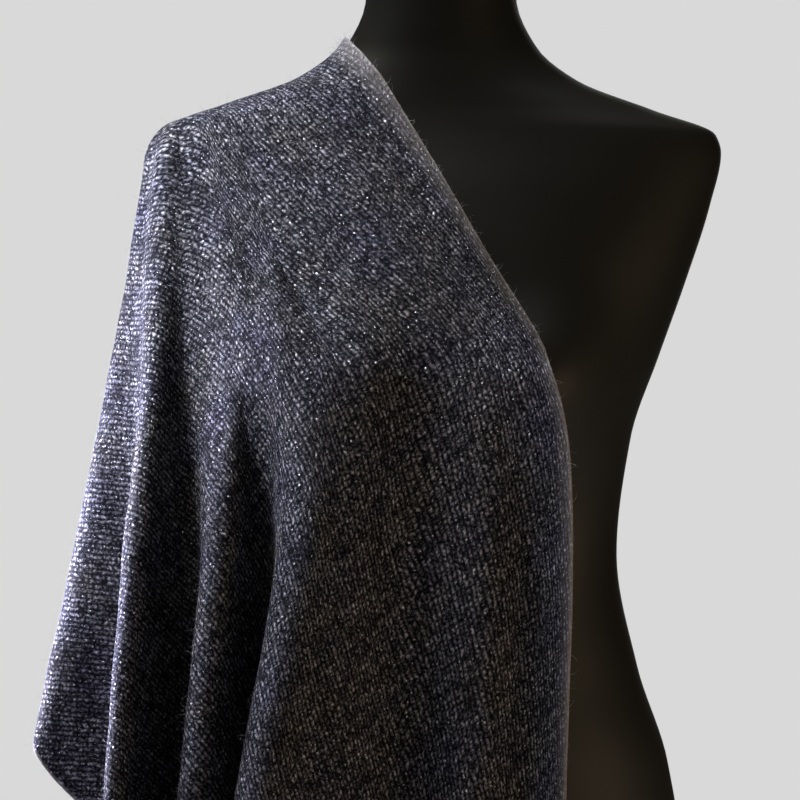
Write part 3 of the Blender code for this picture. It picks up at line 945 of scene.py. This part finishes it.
# %% Silver thread
def silver_tree():
    sizes = ("Slivers per square metre", "Half length", "Half width", "Half height", "Seed")
    tree, start, given = geometry_tree("silver_thread", sizes)
    wale = start.node("GeometryNodeInputNamedAttribute", {"data_type": "FLOAT_VECTOR"}, {"Name": "wale"})
    points = start.node(
        "GeometryNodeDistributePointsOnFaces",
        {"distribute_method": "RANDOM"},
        {"Mesh": given["Cloth"], "Density": given["Slivers per square metre"], "Seed": given["Seed"]},
    )
    ball = start.node("GeometryNodeMeshUVSphere", {}, {"Segments": 4, "Rings": 2, "Radius": 1.0})
    size = start.node(
        "ShaderNodeCombineXYZ",
        {},
        {"X": given["Half length"], "Y": given["Half width"], "Z": given["Half height"]},
    )
    sliver = start.node("GeometryNodeTransform", {}, {"Geometry": ball, "Scale": size})
    stand = start.node(
        "FunctionNodeAxesToRotation",
        {"primary_axis": "Z", "secondary_axis": "X"},
        {"Primary Axis": points.out("Normal"), "Secondary Axis": wale},
    )
    swing = start.node(
        "FunctionNodeRandomValue",
        {"data_type": "FLOAT_VECTOR"},
        {"Min": (-0.5, -0.3, -0.45), "Max": (0.5, 0.3, 0.45), "Seed": given["Seed"]},
    )
    turned = start.node(
        "FunctionNodeRotateRotation",
        {"rotation_space": "LOCAL"},
        {"Rotation": stand, "Rotate By": start.node("FunctionNodeEulerToRotation", {}, {"Euler": swing})},
    )
    length = start.node(
        "FunctionNodeRandomValue", {"data_type": "FLOAT"}, {"Min": 0.5, "Max": 1.2, "Seed": 7}
    )
    slivers = start.node(
        "GeometryNodeInstanceOnPoints",
        {},
        {"Points": points, "Instance": sliver, "Rotation": turned, "Scale": length},
    )
    end_tree(start, given, slivers)
    return tree


def bright_silver():
    material, start, shader = paint("silver_thread", {"Metallic": 1.0})
    place = start.node("ShaderNodeTexCoord").out("Object")
    shade = start.cloud(place, 300.0, 1.0)
    colour = shade.ramp((0.35, (0.26, 0.26, 0.30)), (0.65, (0.54, 0.54, 0.58)))
    plug(shader, {"Base Color": colour, "Roughness": shade * 0.2 + 0.22})
    return material


thread = grown(
    "silver_thread",
    silver_tree(),
    {
        "Slivers per square metre": 34000.0,
        "Half length": 0.0008,
        "Half width": 0.00012,
        "Half height": 0.00007,
        "Seed": 9,
    },
    bright_silver(),
)

for piece in (shawl, halo, thread):
    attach(piece, "root")
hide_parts("shawl")

# %% [markdown]
# ## The stand
# Below the hips a flange carries the form on a steel pole, and the pole stands in a hub on a round foot. All
# of it is turned work, so each piece is a profile spun round the upright axis, with its edges rounded off.

# %% Turned pieces
TURNED_SIDES = 96
EDGE_STEPS = 4


def turned(name, radius, low, high, edge, material):
    """A round piece between two heights, with both rims rounded."""
    profile = [(0.0, low)]
    for middle, first in ((low + edge, -90), (high - edge, 0)):
        for step in range(EDGE_STEPS + 1):
            angle = math.radians(first + 90 * step / EDGE_STEPS)
            profile.append((radius - edge + edge * math.cos(angle), middle + edge * math.sin(angle)))
    profile.append((0.0, high))
    shape = bmesh.new()
    points = [shape.verts.new((x, 0.0, z)) for x, z in profile]
    edges = [shape.edges.new(pair) for pair in zip(points, points[1:])]
    bmesh.ops.spin(
        shape, geom=points + edges, cent=(0, 0, 0), axis=(0, 0, 1), angle=2 * math.pi, steps=TURNED_SIDES,
        use_merge=True, use_normal_flip=False,
    )
    bmesh.ops.remove_doubles(shape, verts=shape.verts, dist=1e-6)
    bmesh.ops.recalc_face_normals(shape, faces=shape.faces)
    mesh = mesh_of(shape, name)
    mesh.set_sharp_from_angle(angle=math.radians(35))
    return placed(name, mesh, material)


def satin_steel():
    material, start, shader = paint("satin_black_steel", {"Metallic": 0.0, "Specular IOR Level": 0.5})
    place = start.node("ShaderNodeTexCoord").out("Object")
    cloud = start.cloud(place, 14.0, 4.0)
    grain = start.cloud(place, 1500.0, 1.0)
    colour = cloud.ramp((0.3, (0.012, 0.012, 0.0125)), (0.7, (0.020, 0.020, 0.021)))
    bump = start.node("ShaderNodeBump", {}, {"Strength": 0.2, "Distance": 0.0001, "Height": grain})
    plug(shader, {"Base Color": colour, "Roughness": cloud * 0.2 + 0.28, "Normal": bump})
    return material


steel = satin_steel()
STAND = {"foot": 0.0025, "foot_hub": 0.003, "pole": 0.0006, "form_flange": 0.0012}
for node, edge in STAND.items():
    low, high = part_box(node)
    piece = turned("turned_" + node, (high.x - low.x) / 2, low.z, high.z, edge, steel)
    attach(piece, "root")
    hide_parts(node)
    print(piece.name, "radius", round((high.x - low.x) / 2, 4))

# %% [markdown]
# ## Floor, light and camera
# The picture has a plain pale ground. Broad lamps overhead light the shoulder and leave the lower cloth dark.
# Small cool lamps at the left, each in a narrowed beam, brighten the shoulder's edge and the side fold, and a
# warm one low at the right browns the front. One behind keeps the back from going black. The two nearest the
# shoulder are linked to the cloth alone, so that they don't shine on the form's dark neck. The camera sees
# none of the lamps. It alone sees the pale ground and the evenness of the floor, because as real light they
# would wash out the dark cloth.

# %% Studio
GROUND = 0.693
FLOOR_REACH = 4.0
FLOOR_EVENNESS = 0.6


def floor():
    mesh = bpy.data.meshes.new("floor")
    corners = [(x * FLOOR_REACH, y * FLOOR_REACH, 0) for x, y in ((-1, -1), (1, -1), (1, 1), (-1, 1))]
    mesh.from_pydata(corners, [], [(0, 1, 2, 3)])
    material, start, shader = paint("pale_floor", {"Roughness": 0.9})
    place = start.node("ShaderNodeTexCoord").out("Object")
    cloud = start.cloud(place, 1.5, 2.0)
    colour = cloud.ramp((0.3, (0.70, 0.70, 0.70)), (0.7, (0.74, 0.74, 0.74)))
    plug(shader, {"Base Color": colour})
    output = material.node_tree.nodes["Material Output"]
    lit = Wire(material.node_tree, shader.outputs["BSDF"])
    seen = start.node("ShaderNodeLightPath").out("Is Camera Ray")
    even = start.node("ShaderNodeEmission", {}, {"Color": (GROUND, GROUND, GROUND, 1.0), "Strength": 1.0})
    mixed = start.node("ShaderNodeMixShader", {}, {0: seen * FLOOR_EVENNESS, 1: lit, 2: even})
    material.node_tree.links.new(mixed.socket, output.inputs["Surface"])
    made = placed("pale_floor", mesh, material)
    return made


floor()

# %% Ground colour
world = bpy.data.worlds.new("studio")
bpy.context.scene.world = world
world.use_nodes = True
world.node_tree.nodes.clear()
start = Wire(world.node_tree)
seen = start.node("ShaderNodeLightPath").out("Is Camera Ray")
ground = start.node("ShaderNodeBackground", {}, {"Color": (GROUND, GROUND, GROUND, 1.0), "Strength": 1.0})
glow = start.node("ShaderNodeBackground", {}, {"Color": (1.0, 0.9, 0.8, 1.0), "Strength": 0.02})
sky = start.node("ShaderNodeMixShader", {}, {0: seen, 1: glow, 2: ground})
start.node("ShaderNodeOutputWorld", {}, {"Surface": sky})

# %% Lamps
Lamp = namedtuple("Lamp", "name place aim size power spread colour")
LAMPS = (
    Lamp("overhead", (-0.51, -0.05, 2.50), (-0.10, -0.05, 0.95), 0.8, 29.0, 180, (0.98, 0.97, 0.90)),
    Lamp("overhead_right", (0.075, -0.425, 2.50), (-0.10, -0.05, 0.95), 0.8, 5.0, 180, (0.96, 0.98, 1.0)),
    Lamp("near_left", (-0.60, -0.16, 1.25), (-0.19, -0.04, 1.09), 0.3, 2.15, 80, (0.87, 0.90, 1.0)),
    Lamp("shoulder_left", (-0.44, 0.06, 1.50), (-0.22, -0.02, 1.10), 0.25, 0.4, 60, (0.62, 0.70, 1.0)),
    Lamp("low_left", (-0.55, -0.20, 0.62), (-0.24, -0.04, 0.80), 0.3, 0.35, 90, (0.82, 0.79, 1.0)),
    Lamp("rear_left", (-0.62, 0.15, 0.85), (-0.24, -0.03, 0.80), 0.3, 5.5, 90, (0.76, 0.76, 1.0)),
    Lamp("warm_right", (1.4, -0.8, 0.6), (0.08, -0.05, 0.80), 0.8, 9.5, 180, (1.0, 0.74, 0.46)),
    Lamp("back_fill", (0.6, 2.6, 1.5), (-0.05, 0.0, 0.8), 1.6, 8.0, 180, (1.0, 1.0, 1.0)),
)
CLOTH_LAMPS = ("near_left", "shoulder_left")
cloth_pieces = bpy.data.collections.new("cloth_pieces")
for piece in (shawl, halo, thread):
    cloth_pieces.objects.link(piece)
for lamp in LAMPS:
    light = bpy.data.lights.new(lamp.name, "AREA")
    light.shape = "DISK"
    light.size = lamp.size
    light.spread = math.radians(lamp.spread)
    light.energy = lamp.power
    light.color = lamp.colour
    stand_in = bpy.data.objects.new(lamp.name, light)
    stand_in.location = lamp.place
    stand_in.rotation_euler = (Vector(lamp.aim) - Vector(lamp.place)).to_track_quat("-Z", "Y").to_euler()
    stand_in.visible_camera = False
    if lamp.name in CLOTH_LAMPS:
        stand_in.light_linking.receiver_collection = cloth_pieces
    bpy.context.scene.collection.objects.link(stand_in)
print("lamps:", len(LAMPS), "of them for the cloth alone:", len(CLOTH_LAMPS))

# %% Camera
CAMERA_PLACE = (-0.0295, -2.6, 0.94)
FRAME_WIDTH = 0.576
SENSOR = 36.0
eye = bpy.data.cameras.new("camera")
eye.sensor_width = SENSOR
eye.lens = SENSOR * -CAMERA_PLACE[1] / FRAME_WIDTH
camera = bpy.data.objects.new("camera", eye)
camera.location = CAMERA_PLACE
camera.rotation_euler = Euler((math.pi / 2, 0, 0))
bpy.context.scene.collection.objects.link(camera)
bpy.context.scene.camera = camera
bpy.context.scene.view_settings.view_transform = "Standard"
bpy.context.scene.view_settings.look = "None"
